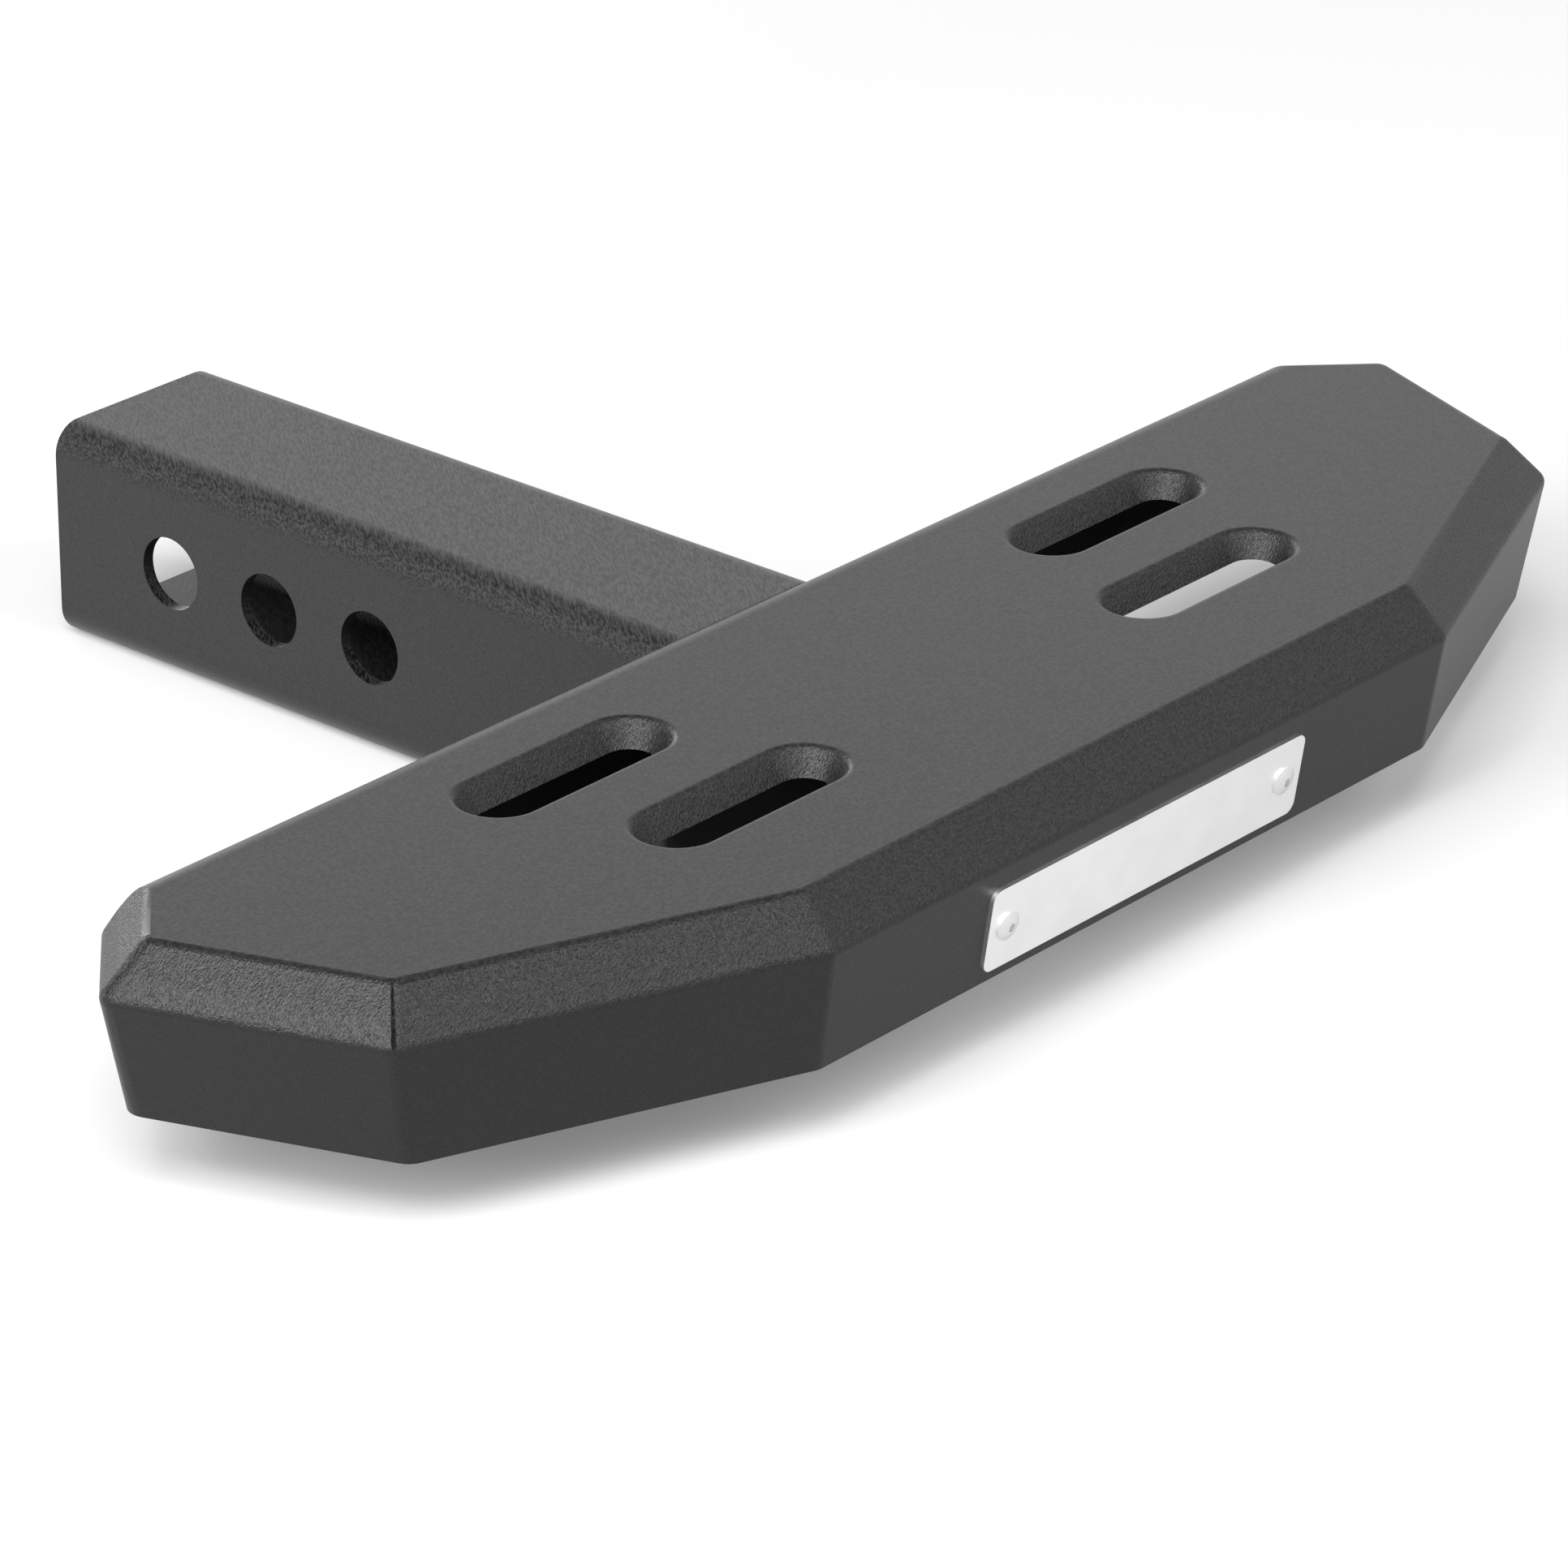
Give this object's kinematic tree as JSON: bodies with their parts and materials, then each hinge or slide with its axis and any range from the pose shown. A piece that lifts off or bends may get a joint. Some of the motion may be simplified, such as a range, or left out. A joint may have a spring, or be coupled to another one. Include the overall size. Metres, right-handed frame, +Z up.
{
  "type": "hitch receiver step",
  "caption": "Step for a vehicle's towing receiver: a folded sheet tread with bevelled edges and flanged slots on a square tube with pin holes.",
  "frame": {"origin": "centre of the middle pin hole, on the receiver tube's centre line", "axes": "+X across the vehicle along the tread, +Y along the tube towards the vehicle, +Z up"},
  "size_m": [0.412, 0.2914, 0.054],
  "materials": {
    "powder_coat": "textured black powder coat",
    "tube_coat": "textured black powder coat",
    "weld_coat": "powder coat over weld beads",
    "bright_plate": "bright satin",
    "rivet_metal": "satin"
  },
  "bodies": {
    "root": {"step_plate": "powder_coat", "receiver_tube": "tube_coat", "nameplate": "bright_plate", "rivet_left": "rivet_metal", "rivet_right": "rivet_metal", "weld_left": "weld_coat", "weld_right": "weld_coat", "weld_front": "weld_coat", "weld_rear_left": "weld_coat", "weld_rear_right": "weld_coat"}
  },
  "joints": []
}
